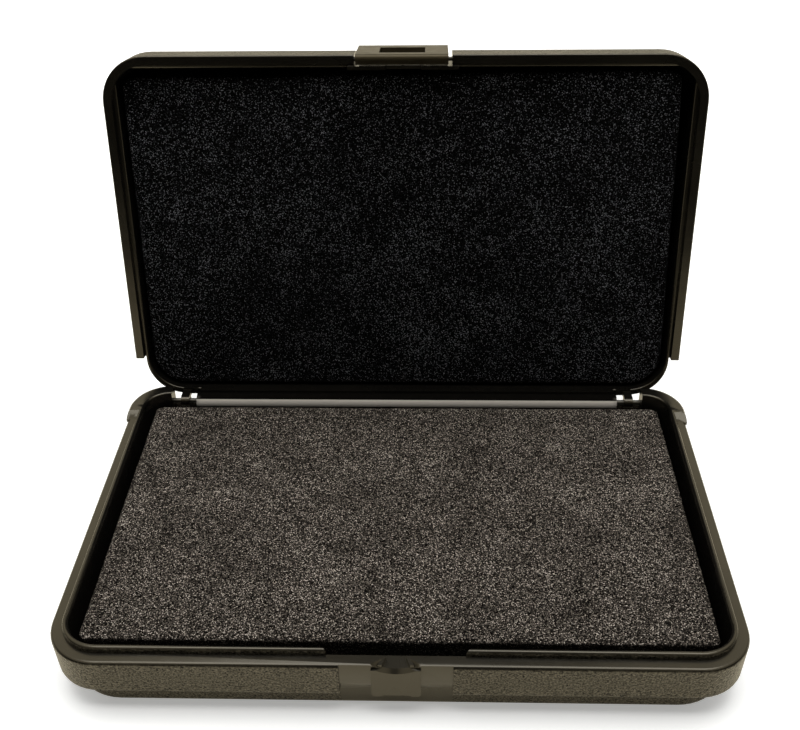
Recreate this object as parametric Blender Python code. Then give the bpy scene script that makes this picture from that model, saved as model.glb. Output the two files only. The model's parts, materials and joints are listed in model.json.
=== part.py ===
"""Blow moulded carrying case, shown open: two double wall shells, foam pads, hinge pins and a snap latch.

Metres, +Z up. The origin is the middle of the flat bottom, the front with the latch faces -Y.
The lid is modelled shut on the base and then turned open about the hinge pins.
"""

import math

import bpy
import bmesh
from mathutils import Matrix, Vector

# Outline of both shells, seen from above
CASE_WIDTH = 0.2700
CASE_DEPTH = 0.1730
FRONT_CORNER_RADIUS = 0.0209
REAR_CORNER_RADIUS = 0.0175
CORNER_SEGMENTS = 12
MIN_CORNER_RADIUS = 0.0020

# Base shell, heights upwards from its flat bottom to the parting line
BASE_HEIGHT = 0.0280
BASE_BAND_HEIGHT = 0.0170
BASE_FLOOR = 0.0032
BASE_RIM_RADIUS = 0.0014

# Lid shell, heights upwards from the parting line
LID_HEIGHT = 0.0250
LID_BAND_HEIGHT = 0.0155
LID_CEILING = 0.0032

# Walls that both shells share
STEP_IN = 0.0045
BODY_FRONT_CORNER = 0.0222
BODY_REAR_CORNER = 0.0188
TRAY_FRONT_CORNER = 0.0125
TRAY_REAR_CORNER = 0.0105
BAND_DRAFT = 0.0005
PANEL_DRAFT = 0.0005
WALL_DRAFT_ANGLE = math.radians(3.0)
PANEL_EDGE_RADIUS = 0.0026
BAND_EDGE_RADIUS = 0.0014
RIM_EDGE_RADIUS = 0.0007
FLOOR_RADIUS = 0.0018
FILLET_STEPS = 3

# Tongue on the base's rim and the skirt of the lid that drops outside it
LEDGE_WIDTH = 0.0046
LEDGE_FRONT_EXTRA = 0.0005
LIP_THICKNESS = 0.0024
LIP_HEIGHT = 0.0027
SKIRT_WIDTH = 0.0040
SKIRT_DEPTH = 0.0030
LID_RIM_INSET = 0.0060
LID_REAR_EXTRA = 0.0014
LID_RIM_CORNER = 0.0065
LID_HOLLOW_CORNER = 0.0170
PARTING_GAP = 0.0003

# Rear corners: the lid's band stops short and the base's rim is filled up to the lip
LID_BAND_END = 0.0253
HUMP_LENGTH = 0.0250
HUMP_SLOPE_LENGTH = 0.0048
HUMP_SIDE_PROUD = 0.0007
HUMP_REAR_PROUD = 0.0003
HUMP_EDGE_RADIUS = 0.0020

# Hinge: a round barrel along the base's rear rim, open at two notches for the lid's lugs
HINGE_INSET = 0.0040
HINGE_DROP = 0.0040
BARREL_SEGMENTS = 32
NOTCH_INSET = 0.0241
NOTCH_WIDTH = 0.0122
NOTCH_DEPTH = 0.0075
HINGE_PIN_DIAMETER = 0.0024
PIN_SEAT_DEPTH = 0.0032
PIN_CLEARANCE = 0.0003
PIN_SEGMENTS = 16
LUG_WIDTH = 0.0042
LUG_OUTER_RADIUS = 0.0028
LUG_FOOT_WIDTH = 0.0074
LUG_FOOT_HEIGHT = 0.0020
LUG_SEGMENTS = 20
LUG_ARC_START = math.radians(180.0)
LUG_ARC_SWEEP = math.radians(300.0)
APRON_CLEARANCE = 0.0005
LID_OPEN_ANGLE = math.radians(99.0)

# Latch pocket in the middle of both fronts
POCKET_WIDTH = 0.0431
POCKET_FACE_INSET = 0.0009
POCKET_CREASE_DROP = 0.0102
TOOTH_WIDTH = 0.0188
TOOTH_TOP_DROP = 0.0021
TOOTH_CORNER_RADIUS = 0.0010
TOOTH_RELIEF_WIDTH = 0.0100
TOOTH_RELIEF_HEIGHT = 0.0007
SCOOP_WIDTH = 0.0170
SCOOP_DEPTH = 0.0018
SCOOP_TILT = math.radians(38.0)
SCOOP_SEGMENTS = 64

# Gap in the tongue behind the tooth, where the lid's own wall drops inside
GAP_WIDTH = 0.0500
GAP_INSET = 0.0036
GAP_DEPTH = 0.0027
GAP_END_SLOPE_SHARE = 0.86
RIDGE_FRONT_SPREAD = 0.0053
RIDGE_REAR_SPREAD = 0.0037
RIDGE_FRONT_INSET = 0.0016
RIDGE_REAR_INSET = 0.0056
RIDGE_THICKNESS = 0.0015
RIDGE_SEAT = 0.0004
GAP_WALL_CLEARANCE = 0.0006
RIDGE_SLOT_CLEARANCE = 0.0012

# Latch plate and its pin, in the place they have when the case is shut
LATCH_WIDTH = 0.0391
LATCH_THICKNESS = 0.0021
LATCH_PROUD = 0.0033
LATCH_TOP_MARGIN = 0.0075
LATCH_BAR_HEIGHT = 0.0058
LATCH_HOOK_REACH = 0.0014
LATCH_TIP_RADIUS = 0.0016
LATCH_PIVOT_INSET = 0.0023
LATCH_PIVOT_RISE = 0.0032
LATCH_BARREL_RADIUS = 0.0019
LATCH_PIN_DIAMETER = 0.0018
LATCH_PIN_SEAT = 0.0030
LATCH_CLEARANCE = 0.0003
LATCH_EDGE_RADIUS = 0.0005
LATCH_REST_ANGLE = math.radians(2.0)

# Foam pads
BASE_FOAM_SIDE_GAP = 0.0034
BASE_FOAM_FRONT_GAP = 0.0068
BASE_FOAM_REAR_GAP = 0.0016
BASE_FOAM_RECESS = 0.0024
BASE_FOAM_CORNER = 0.0035
BASE_FOAM_BACK_CORNER = 0.0065
LID_FOAM_SIDE_GAP = 0.0014
LID_FOAM_FRONT_GAP = 0.0041
LID_FOAM_REAR_GAP = 0.0012
LID_FOAM_RECESS = 0.0022
LID_FOAM_CORNER = 0.0050
LID_FOAM_BACK_CORNER = 0.0155
FOAM_EDGE_RADIUS = 0.0012
FOAM_FOOT_CHAMFER = 0.0022
SEAT_GAP = 0.0003

# How far a cutter runs past what it cuts
OVERRUN = 0.0060

# Places worked out from the sizes above
HALF_WIDTH = CASE_WIDTH / 2
FRONT_Y = -CASE_DEPTH / 2
REAR_Y = CASE_DEPTH / 2
PARTING_Z = BASE_HEIGHT
LID_Z = PARTING_Z + PARTING_GAP
LID_TOP_Z = LID_Z + LID_HEIGHT
LID_RIM_Z = LID_Z + SKIRT_DEPTH
LID_SHOULDER_Z = LID_Z + LID_BAND_HEIGHT - LID_CEILING
BAND_BOTTOM_Z = BASE_HEIGHT - BASE_BAND_HEIGHT
LIP_CREST_Z = PARTING_Z + LIP_HEIGHT
LIP_CREST_INSET = LEDGE_WIDTH + LIP_THICKNESS / 2
LIP_INNER_INSET = LEDGE_WIDTH + LIP_THICKNESS
NOTCH_CENTRE = HALF_WIDTH - NOTCH_INSET
HINGE_Y = REAR_Y - HINGE_INSET
HINGE_Z = PARTING_Z - HINGE_DROP
BARREL_RADIUS = HINGE_INSET
HINGE = Vector((0, HINGE_Y, HINGE_Z))
LATCH_Y = FRONT_Y + LATCH_PIVOT_INSET
LATCH_Z = LID_Z + LATCH_PIVOT_RISE
LATCH_PIVOT = Vector((0, LATCH_Y, LATCH_Z))
TOOTH_BOTTOM_Z = BAND_BOTTOM_Z
WINDOW_WIDTH = TOOTH_WIDTH + 2 * LATCH_CLEARANCE
WINDOW_BOTTOM_Z = TOOTH_BOTTOM_Z - LATCH_CLEARANCE
WINDOW_TOP_Z = PARTING_Z - TOOTH_TOP_DROP + LATCH_CLEARANCE
LATCH_BOTTOM_Z = WINDOW_BOTTOM_Z - LATCH_BAR_HEIGHT
LATCH_TOP_Z = WINDOW_TOP_Z + LATCH_TOP_MARGIN
HINGE_HOLE_RADIUS = HINGE_PIN_DIAMETER / 2 + PIN_CLEARANCE
LATCH_HOLE_RADIUS = LATCH_PIN_DIAMETER / 2 + PIN_CLEARANCE


def clear_scene():
    """Remove whatever the file holds."""
    for item in list(bpy.data.objects):
        bpy.data.objects.remove(item, do_unlink=True)


def make_material(name, colour, roughness, metallic=0.0):
    """Return a Principled material."""
    material = bpy.data.materials.new(name)
    material.use_nodes = True
    shader = material.node_tree.nodes["Principled BSDF"]
    shader.inputs["Base Color"].default_value = (*colour, 1.0)
    shader.inputs["Roughness"].default_value = roughness
    shader.inputs["Metallic"].default_value = metallic
    material.diffuse_color = (*colour, 1.0)
    return material


def link_mesh(name, bm):
    """Turn a bmesh into an object with its faces outwards."""
    bmesh.ops.recalc_face_normals(bm, faces=bm.faces)
    mesh = bpy.data.meshes.new(name)
    bm.to_mesh(mesh)
    bm.free()
    obj = bpy.data.objects.new(name, mesh)
    bpy.context.scene.collection.objects.link(obj)
    return obj


def as_guide(obj):
    """Mark an object as a cutter or filler that only serves a Boolean."""
    obj.hide_render = True
    obj.display_type = "WIRE"
    return obj


def combine(target, tool, operation):
    """Add a live Boolean between a piece and a guide body."""
    modifier = target.modifiers.new(tool.name, "BOOLEAN")
    modifier.operation = operation
    modifier.solver = "EXACT"
    modifier.object = as_guide(tool)


def finish(obj, material, smooth_angle=35.0):
    """Give a piece its material and smooth shading between its sharp edges."""
    obj.data.materials.append(material)
    obj.data.shade_smooth()
    obj.data.set_sharp_from_angle(angle=math.radians(smooth_angle))
    return obj


def outline(half_x, front_y, rear_y, rear_radius, front_radius):
    """Return a rounded rectangle, anticlockwise from above, as (x, y) points."""
    centres = [
        (half_x - rear_radius, rear_y - rear_radius, rear_radius),
        (-half_x + rear_radius, rear_y - rear_radius, rear_radius),
        (-half_x + front_radius, front_y + front_radius, front_radius),
        (half_x - front_radius, front_y + front_radius, front_radius),
    ]
    points = []
    for corner, (x, y, radius) in enumerate(centres):
        for step in range(CORNER_SEGMENTS + 1):
            turn = 0.5 * math.pi * (corner + step / CORNER_SEGMENTS)
            points.append((x + radius * math.cos(turn), y + radius * math.sin(turn)))
    return points


def case_ring(inset, z, front_extra=0.0, rear_extra=0.0, rear_corner=0.0, front_corner=0.0):
    """Return one ring of the outline, drawn in by an inset, with its own corner radii if they are given."""
    rear_radius = max(rear_corner or REAR_CORNER_RADIUS - inset, MIN_CORNER_RADIUS)
    front_radius = max(front_corner or FRONT_CORNER_RADIUS - inset, MIN_CORNER_RADIUS)
    front = FRONT_Y + inset + front_extra
    rear = REAR_Y - inset - rear_extra
    return [(x, y, z) for x, y in outline(HALF_WIDTH - inset, front, rear, rear_radius, front_radius)]


def body_ring(inset, z):
    """Return one ring of the stepped-in body, whose corners are rounder than the band's."""
    deeper = STEP_IN - inset
    return case_ring(inset, z, rear_corner=BODY_REAR_CORNER + deeper, front_corner=BODY_FRONT_CORNER + deeper)


def lid_inner_ring(inset, z, front_corner):
    """Return one ring of the lid's hollow, with a front corner radius that is stated at the rim's inset."""
    deeper = LID_RIM_INSET - inset
    return case_ring(inset, z, rear_extra=LID_REAR_EXTRA, rear_corner=LID_HOLLOW_CORNER + deeper,
                     front_corner=front_corner + deeper)


def quarter(inset_from, z_from, inset_to, z_to, bulge_first_inset):
    """Return points of a quarter round from one (inset, z) to another, without its first point."""
    points = []
    for step in range(1, FILLET_STEPS + 1):
        turn = 0.5 * math.pi * step / FILLET_STEPS
        ease_sine = math.sin(turn)
        ease_cosine = 1.0 - math.cos(turn)
        along_inset = ease_sine if bulge_first_inset else ease_cosine
        along_z = ease_cosine if bulge_first_inset else ease_sine
        inset = inset_from + (inset_to - inset_from) * along_inset
        points.append((inset, z_from + (z_to - z_from) * along_z))
    return points


def bridge(bm, lower, upper):
    """Join two rings of equal count with quads."""
    count = len(lower)
    for index in range(count):
        following = (index + 1) % count
        bm.faces.new((lower[index], lower[following], upper[following], upper[index]))


def loft(name, rings, closed=False):
    """Skin a list of rings, capping both ends or joining the last ring to the first."""
    bm = bmesh.new()
    rows = [[bm.verts.new(point) for point in ring] for ring in rings]
    for lower, upper in zip(rows, rows[1:]):
        bridge(bm, lower, upper)
    if closed:
        bridge(bm, rows[-1], rows[0])
    else:
        bm.faces.new(list(reversed(rows[0])))
        bm.faces.new(rows[-1])
    return link_mesh(name, bm)


def prism_x(name, profile, x_from, x_to):
    """Extrude a (y, z) profile along X."""
    return loft(name, [[(x, y, z) for y, z in profile] for x in (x_from, x_to)])


def prism_y(name, profile, y_from, y_to):
    """Extrude an (x, z) profile along Y."""
    return loft(name, [[(x, y, z) for x, z in profile] for y in (y_from, y_to)])


def prism_z(name, profile, z_from, z_to):
    """Extrude an (x, y) profile along Z."""
    return loft(name, [[(x, y, z) for x, y in profile] for z in (z_from, z_to)])


def box(name, low, high):
    """Return a plain block between two corners."""
    profile = [(low[0], low[1]), (high[0], low[1]), (high[0], high[1]), (low[0], high[1])]
    return prism_z(name, profile, low[2], high[2])


def circle(y, z, radius, segments):
    """Return the (y, z) points of a circle round an axis along X."""
    turns = [2 * math.pi * (step + 0.5) / segments for step in range(segments)]
    return [(y + radius * math.cos(turn), z + radius * math.sin(turn)) for turn in turns]


def rod(name, y, z, radius, x_from, x_to, segments=PIN_SEGMENTS):
    """Return a round bar along X."""
    return prism_x(name, circle(y, z, radius, segments), x_from, x_to)


def make_pivot(name, place, parent=None, angle=0.0):
    """Return an empty on a joint's axis, turned about X."""
    pivot = bpy.data.objects.new(name, None)
    bpy.context.scene.collection.objects.link(pivot)
    pivot.parent = parent
    pivot.location = place
    pivot.rotation_euler = (angle, 0.0, 0.0)
    return pivot


def hang(obj, pivot, axis_point):
    """Move a shut piece's mesh onto its joint's axis and parent it to the pivot."""
    obj.data.transform(Matrix.Translation(-axis_point))
    obj.parent = pivot
    for modifier in obj.modifiers:
        if modifier.type == "BOOLEAN" and modifier.object.parent is None:
            hang(modifier.object, pivot, axis_point)
    return obj


def wall_draft(height):
    """Return how far an inner wall leans in over a height."""
    return height * math.tan(WALL_DRAFT_ANGLE)


def base_rings():
    """Return the base's rings, up the outside and down the inside."""
    foot_inset = STEP_IN + PANEL_DRAFT
    body = [(foot_inset + PANEL_EDGE_RADIUS, 0.0)]
    body += quarter(foot_inset + PANEL_EDGE_RADIUS, 0.0, foot_inset, PANEL_EDGE_RADIUS, True)
    body += [(STEP_IN, BAND_BOTTOM_Z)]
    edge_inset = BAND_DRAFT + BAND_EDGE_RADIUS
    band = [(edge_inset, BAND_BOTTOM_Z)]
    band += quarter(edge_inset, BAND_BOTTOM_Z, BAND_DRAFT, BAND_BOTTOM_Z + BAND_EDGE_RADIUS, True)
    band += [(0.0, PARTING_Z - BASE_RIM_RADIUS)]
    band += quarter(0.0, PARTING_Z - BASE_RIM_RADIUS, BASE_RIM_RADIUS, PARTING_Z, False)
    shoulder_z = LIP_CREST_Z - LIP_THICKNESS / 2
    lip = [(LEDGE_WIDTH, PARTING_Z), (LEDGE_WIDTH, shoulder_z)]
    lip += quarter(LEDGE_WIDTH, shoulder_z, LIP_CREST_INSET, LIP_CREST_Z, False)
    lip += quarter(LIP_CREST_INSET, LIP_CREST_Z, LIP_INNER_INSET, shoulder_z, True)
    floor_inset = LIP_INNER_INSET + wall_draft(LIP_CREST_Z - BASE_FLOOR)
    tray = [(floor_inset, BASE_FLOOR + FLOOR_RADIUS)]
    tray += quarter(floor_inset, BASE_FLOOR + FLOOR_RADIUS, floor_inset + FLOOR_RADIUS, BASE_FLOOR, False)
    rings = [body_ring(inset, z) for inset, z in body]
    rings += [case_ring(inset, z) for inset, z in band]
    rings += [case_ring(inset, z, LEDGE_FRONT_EXTRA) for inset, z in lip]
    for inset, z in tray:
        deeper = floor_inset - inset
        rings.append(case_ring(inset, z, LEDGE_FRONT_EXTRA, rear_corner=TRAY_REAR_CORNER + deeper,
                               front_corner=TRAY_FRONT_CORNER + deeper))
    return rings


def add_rear_humps(shell):
    """Fill the ledge up to the lip round both rear corners, proud of the band and with a sloped front."""
    sunk_z = PARTING_Z - LIP_HEIGHT
    side = -HUMP_SIDE_PROUD
    shoulder_z = LIP_CREST_Z - HUMP_EDGE_RADIUS
    outer = [(HUMP_EDGE_RADIUS, sunk_z), (side, PARTING_Z - BASE_RIM_RADIUS), (side, shoulder_z)]
    outer += quarter(side, shoulder_z, side + HUMP_EDGE_RADIUS, LIP_CREST_Z, False)
    rings = [case_ring(inset, z, rear_extra=HUMP_SIDE_PROUD - HUMP_REAR_PROUD) for inset, z in outer]
    rings += [case_ring(LIP_CREST_INSET, z) for z in (LIP_CREST_Z, sunk_z)]
    hump = loft("hump_ring", rings, closed=True)
    start_y = REAR_Y - HUMP_LENGTH
    slope_end_y = start_y + HUMP_SLOPE_LENGTH * (LIP_HEIGHT + OVERRUN) / LIP_HEIGHT
    keep = [
        (start_y, sunk_z - OVERRUN),
        (REAR_Y + OVERRUN, sunk_z - OVERRUN),
        (REAR_Y + OVERRUN, LIP_CREST_Z + OVERRUN),
        (slope_end_y, LIP_CREST_Z + OVERRUN),
        (start_y, PARTING_Z),
    ]
    combine(hump, prism_x("hump_keep", keep, -CASE_WIDTH, CASE_WIDTH), "INTERSECT")
    combine(shell, hump, "UNION")


def notch_sides():
    """Return the X edges of the two hinge notches, left one first."""
    half = NOTCH_WIDTH / 2
    return [(-NOTCH_CENTRE - half, -NOTCH_CENTRE + half), (NOTCH_CENTRE - half, NOTCH_CENTRE + half)]


def add_hinge_barrel(shell):
    """Turn the rear rim between the notches into a round barrel, open the notches and bore the pin seats."""
    inner_x = NOTCH_CENTRE - NOTCH_WIDTH / 2
    wall_y = REAR_Y - LIP_INNER_INSET - wall_draft(PARTING_Z) - OVERRUN
    top_z = LIP_CREST_Z + OVERRUN
    combine(shell, box("rear_rim_cut", (-inner_x - OVERRUN / 2, wall_y, HINGE_Z),
                       (inner_x + OVERRUN / 2, REAR_Y + OVERRUN, top_z)), "DIFFERENCE")
    combine(shell, rod("hinge_barrel", HINGE_Y, HINGE_Z, BARREL_RADIUS, -inner_x - OVERRUN / 2,
                       inner_x + OVERRUN / 2, BARREL_SEGMENTS), "UNION")
    for side, (x_from, x_to) in zip(("left", "right"), notch_sides()):
        combine(shell, box("notch_" + side, (x_from, wall_y, PARTING_Z - NOTCH_DEPTH),
                           (x_to, REAR_Y + OVERRUN, top_z)), "DIFFERENCE")
        seat = PIN_SEAT_DEPTH + PIN_CLEARANCE
        combine(shell, rod("pin_seat_" + side, HINGE_Y, HINGE_Z, HINGE_HOLE_RADIUS, x_from - seat,
                           x_to + seat), "DIFFERENCE")


def tooth_front():
    """Return the tooth's (x, z) front view: cut lower corners and a shallow relief between them."""
    half = TOOTH_WIDTH / 2
    radius = TOOTH_CORNER_RADIUS
    top_z = PARTING_Z - TOOTH_TOP_DROP
    relief_half = TOOTH_RELIEF_WIDTH / 2
    relief_z = TOOTH_BOTTOM_Z + TOOTH_RELIEF_HEIGHT
    left = [(-half, top_z), (-half, TOOTH_BOTTOM_Z + radius), (-half + radius, TOOTH_BOTTOM_Z)]
    left += [(-relief_half - radius, TOOTH_BOTTOM_Z), (-relief_half, relief_z)]
    return left + [(-x, z) for x, z in reversed(left)]


def add_latch_pocket(shell):
    """Sink the front of the band for the latch and stand the tooth in the middle of it."""
    half = POCKET_WIDTH / 2
    face_y = FRONT_Y + POCKET_FACE_INSET
    crease_z = PARTING_Z - POCKET_CREASE_DROP
    deep_y = FRONT_Y + STEP_IN
    bottom_z = BAND_BOTTOM_Z - RIM_EDGE_RADIUS
    profile = [
        (FRONT_Y - OVERRUN, bottom_z),
        (deep_y, bottom_z),
        (deep_y, BAND_BOTTOM_Z),
        (face_y, crease_z),
        (face_y, PARTING_Z + RIM_EDGE_RADIUS),
        (FRONT_Y - OVERRUN, PARTING_Z + RIM_EDGE_RADIUS),
    ]
    combine(shell, prism_x("latch_pocket", profile, -half, half), "DIFFERENCE")
    combine(shell, prism_y("tooth", tooth_front(), FRONT_Y, deep_y + RIM_EDGE_RADIUS), "UNION")
    scoop_radius = ((SCOOP_WIDTH / 2) ** 2 + SCOOP_DEPTH ** 2) / (2 * SCOOP_DEPTH)
    turns = [2 * math.pi * step / SCOOP_SEGMENTS for step in range(SCOOP_SEGMENTS)]
    profile = [(scoop_radius * math.cos(turn), scoop_radius * (1.0 + math.sin(turn))) for turn in turns]
    scoop = prism_y("scoop", profile, -OVERRUN, OVERRUN)
    place = Matrix.Translation((0.0, FRONT_Y, PARTING_Z - TOOTH_TOP_DROP - SCOOP_DEPTH))
    scoop.data.transform(place @ Matrix.Rotation(SCOOP_TILT, 4, "X"))
    combine(shell, scoop, "DIFFERENCE")


def add_tongue_gap(shell):
    """Open the tongue behind the latch, cut the funnel and stand the two guide ridges in it."""
    front_y = FRONT_Y + GAP_INSET
    tongue_rear = LIP_INNER_INSET + LEDGE_FRONT_EXTRA + wall_draft(GAP_DEPTH + LIP_HEIGHT)
    rear_y = FRONT_Y + tongue_rear + RIM_EDGE_RADIUS
    half_front = GAP_WIDTH / 2
    half_rear = half_front + (rear_y - front_y) * GAP_END_SLOPE_SHARE
    floor_z = PARTING_Z - GAP_DEPTH
    plan = [(-half_front, front_y), (half_front, front_y), (half_rear, rear_y), (-half_rear, rear_y)]
    combine(shell, prism_z("tongue_gap", plan, floor_z, LIP_CREST_Z + OVERRUN), "DIFFERENCE")
    mouth_y = FRONT_Y + RIDGE_FRONT_INSET
    end_y = FRONT_Y + RIDGE_REAR_INSET
    middle = RIDGE_THICKNESS / 2
    mouth_half = RIDGE_FRONT_SPREAD + middle
    throat_half = RIDGE_REAR_SPREAD + middle
    funnel = [(-mouth_half, mouth_y), (mouth_half, mouth_y), (throat_half, end_y), (-throat_half, end_y)]
    combine(shell, prism_z("funnel", funnel, floor_z, PARTING_Z + OVERRUN), "DIFFERENCE")
    for name, side in (("guide_ridge_left", -1), ("guide_ridge_right", 1)):
        front_x = side * RIDGE_FRONT_SPREAD
        rear_x = side * RIDGE_REAR_SPREAD
        reach = side * RIDGE_THICKNESS
        ridge_y = mouth_y - RIDGE_SEAT
        plan = [(front_x, ridge_y), (rear_x, end_y), (rear_x + reach, end_y), (front_x + reach, ridge_y)]
        combine(shell, prism_z(name, plan, floor_z - GAP_DEPTH, PARTING_Z - PARTING_GAP), "UNION")


def make_base_shell(material):
    """Build the base: stepped outer wall, ledge, tongue, tray, barrel, pocket and tooth."""
    shell = loft("base_shell", base_rings())
    add_rear_humps(shell)
    add_hinge_barrel(shell)
    add_latch_pocket(shell)
    add_tongue_gap(shell)
    return finish(shell, material)


def lid_rings():
    """Return the lid's rings, down the outside and up the inside."""
    top_inset = STEP_IN + PANEL_DRAFT
    band_top_z = LID_Z + LID_BAND_HEIGHT
    body = [(top_inset + PANEL_EDGE_RADIUS, LID_TOP_Z)]
    body += quarter(top_inset + PANEL_EDGE_RADIUS, LID_TOP_Z, top_inset, LID_TOP_Z - PANEL_EDGE_RADIUS, True)
    body += [(STEP_IN, band_top_z)]
    edge_inset = BAND_DRAFT + BAND_EDGE_RADIUS
    band = [(edge_inset, band_top_z)]
    band += quarter(edge_inset, band_top_z, BAND_DRAFT, band_top_z - BAND_EDGE_RADIUS, True)
    band += [(0.0, LID_Z + RIM_EDGE_RADIUS)]
    band += quarter(0.0, LID_Z + RIM_EDGE_RADIUS, RIM_EDGE_RADIUS, LID_Z, False)
    band += [(SKIRT_WIDTH, LID_Z), (SKIRT_WIDTH, LID_RIM_Z)]
    edge_inset = LID_RIM_INSET - RIM_EDGE_RADIUS
    rim = [(edge_inset, LID_RIM_Z)]
    rim += quarter(edge_inset, LID_RIM_Z, LID_RIM_INSET, LID_RIM_Z + RIM_EDGE_RADIUS, True)
    ceiling_z = LID_TOP_Z - LID_CEILING
    cove_z = ceiling_z - FLOOR_RADIUS
    shoulder_inset = LID_RIM_INSET + wall_draft(LID_SHOULDER_Z - LID_RIM_Z)
    ceiling_inset = LID_RIM_INSET + wall_draft(ceiling_z - LID_RIM_Z)
    hollow = [(shoulder_inset, LID_SHOULDER_Z), (ceiling_inset, cove_z)]
    hollow += quarter(ceiling_inset, cove_z, ceiling_inset + FLOOR_RADIUS, ceiling_z, False)
    rings = [body_ring(inset, z) for inset, z in body]
    rings += [case_ring(inset, z) for inset, z in band]
    rings += [lid_inner_ring(inset, z, LID_RIM_CORNER) for inset, z in rim]
    rings += [lid_inner_ring(inset, z, LID_HOLLOW_CORNER) for inset, z in hollow]
    return rings


def cut_rear_band(shell):
    """Take the lid's outer band away round its rear, back to the stepped-in wall."""
    start_y = REAR_Y - LID_BAND_END
    outer_half = HALF_WIDTH + OVERRUN
    rear_y = REAR_Y + OVERRUN
    low_z = LID_Z - OVERRUN
    high_z = LID_TOP_Z + OVERRUN
    region = box("rear_band_cut", (-outer_half, start_y, low_z), (outer_half, rear_y, high_z))
    core = [(x, y) for x, y, _ in body_ring(STEP_IN, 0.0)]
    combine(region, prism_z("rear_band_core", core, low_z - OVERRUN, high_z + OVERRUN), "DIFFERENCE")
    combine(shell, region, "DIFFERENCE")


def lug_profile():
    """Return the (y, z) outline of a lug: a ring's outer arc with an arm up into the lid's rear wall."""
    root_z = LID_RIM_Z + LUG_FOOT_HEIGHT
    back_y = REAR_Y - STEP_IN - RIM_EDGE_RADIUS
    front_y = back_y - LUG_OUTER_RADIUS
    arc = []
    for step in range(LUG_SEGMENTS + 1):
        turn = LUG_ARC_START + LUG_ARC_SWEEP * step / LUG_SEGMENTS
        y = HINGE_Y + LUG_OUTER_RADIUS * math.cos(turn)
        arc.append((y, HINGE_Z + LUG_OUTER_RADIUS * math.sin(turn)))
    return [(front_y, root_z)] + arc + [(back_y, root_z)]


def add_lugs(shell):
    """Hang the two lugs with their feet from the lid's rear rim and bore them for the pins."""
    back_y = REAR_Y - STEP_IN - RIM_EDGE_RADIUS
    for side, centre in (("left", -NOTCH_CENTRE), ("right", NOTCH_CENTRE)):
        half = LUG_WIDTH / 2
        lug = prism_x("lug_" + side, lug_profile(), centre - half, centre + half)
        inward = -1.0 if centre > 0 else 1.0
        edges = sorted((centre - inward * half, centre + inward * (LUG_FOOT_WIDTH - half)))
        foot = box("lug_foot_" + side, (edges[0], back_y - LUG_OUTER_RADIUS, LID_RIM_Z - LUG_FOOT_HEIGHT),
                   (edges[1], back_y, LID_RIM_Z + RIM_EDGE_RADIUS))
        combine(shell, foot, "UNION")
        combine(shell, lug, "UNION")
        combine(shell, rod("lug_bore_" + side, HINGE_Y, HINGE_Z, HINGE_HOLE_RADIUS, centre - LUG_WIDTH,
                           centre + LUG_WIDTH), "DIFFERENCE")


def add_rear_apron(shell):
    """Carry the lid's rear wall down to just over the hinge barrel, between the notches."""
    half = NOTCH_CENTRE - NOTCH_WIDTH / 2 - APRON_CLEARANCE
    back_y = REAR_Y - STEP_IN
    front_y = REAR_Y - LID_RIM_INSET - LID_REAR_EXTRA
    reach = BARREL_RADIUS + APRON_CLEARANCE
    profile = [(front_y, LID_RIM_Z + RIM_EDGE_RADIUS * 2), (front_y, HINGE_Z + reach)]
    profile += [(back_y, HINGE_Z + reach), (back_y, LID_RIM_Z + RIM_EDGE_RADIUS * 2)]
    combine(shell, prism_x("rear_apron", profile, -half, half), "UNION")


def add_lid_pocket(shell):
    """Open the lid's band for the latch, drop its wall behind the base's front and bore the pin seats."""
    half = POCKET_WIDTH / 2
    floor_y = FRONT_Y + STEP_IN
    combine(shell, box("lid_pocket", (-half, FRONT_Y - OVERRUN, LID_Z - OVERRUN),
                       (half, floor_y, LID_TOP_Z + OVERRUN)), "DIFFERENCE")
    wall_half = GAP_WIDTH / 2 - GAP_WALL_CLEARANCE
    wall_low = PARTING_Z - GAP_DEPTH + GAP_WALL_CLEARANCE
    wall_rear = FRONT_Y + LID_RIM_INSET
    combine(shell, box("front_wall_drop", (-wall_half, floor_y, wall_low),
                       (wall_half, wall_rear, LID_RIM_Z + 2 * RIM_EDGE_RADIUS)), "UNION")
    slot_half = RIDGE_FRONT_SPREAD + RIDGE_THICKNESS + RIDGE_SLOT_CLEARANCE
    combine(shell, box("ridge_slot", (-slot_half, floor_y - OVERRUN, wall_low - OVERRUN),
                       (slot_half, wall_rear + OVERRUN, LID_Z)), "DIFFERENCE")
    seat = half + LATCH_PIN_SEAT + PIN_CLEARANCE
    combine(shell, rod("latch_pin_seats", LATCH_Y, LATCH_Z, LATCH_HOLE_RADIUS, -seat, seat), "DIFFERENCE")


def make_lid_shell(material, pivot):
    """Build the lid: stepped top, skirt, rim, lugs, apron and latch pocket, hung on the hinge."""
    shell = loft("lid_shell", lid_rings())
    cut_rear_band(shell)
    add_rear_apron(shell)
    add_lugs(shell)
    add_lid_pocket(shell)
    hang(shell, pivot, HINGE)
    return finish(shell, material)


def latch_profile():
    """Return the latch's (y, z) section as it sits shut: plate, hooked bar and pivot side."""
    outer_y = FRONT_Y - LATCH_PROUD
    inner_y = outer_y + LATCH_THICKNESS
    hook_y = FRONT_Y + LATCH_HOOK_REACH
    tip_y = outer_y + LATCH_TIP_RADIUS
    tip_z = LATCH_BOTTOM_Z + LATCH_TIP_RADIUS
    points = [(outer_y, LATCH_TOP_Z - LATCH_EDGE_RADIUS), (outer_y, tip_z)]
    points += quarter(outer_y, tip_z, tip_y, LATCH_BOTTOM_Z, False)
    points += [(inner_y, LATCH_BOTTOM_Z), (hook_y, WINDOW_BOTTOM_Z - LATCH_THICKNESS)]
    points += [(hook_y, WINDOW_BOTTOM_Z), (inner_y, WINDOW_BOTTOM_Z), (inner_y, LATCH_TOP_Z)]
    points += [(outer_y + LATCH_EDGE_RADIUS, LATCH_TOP_Z)]
    return points


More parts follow.
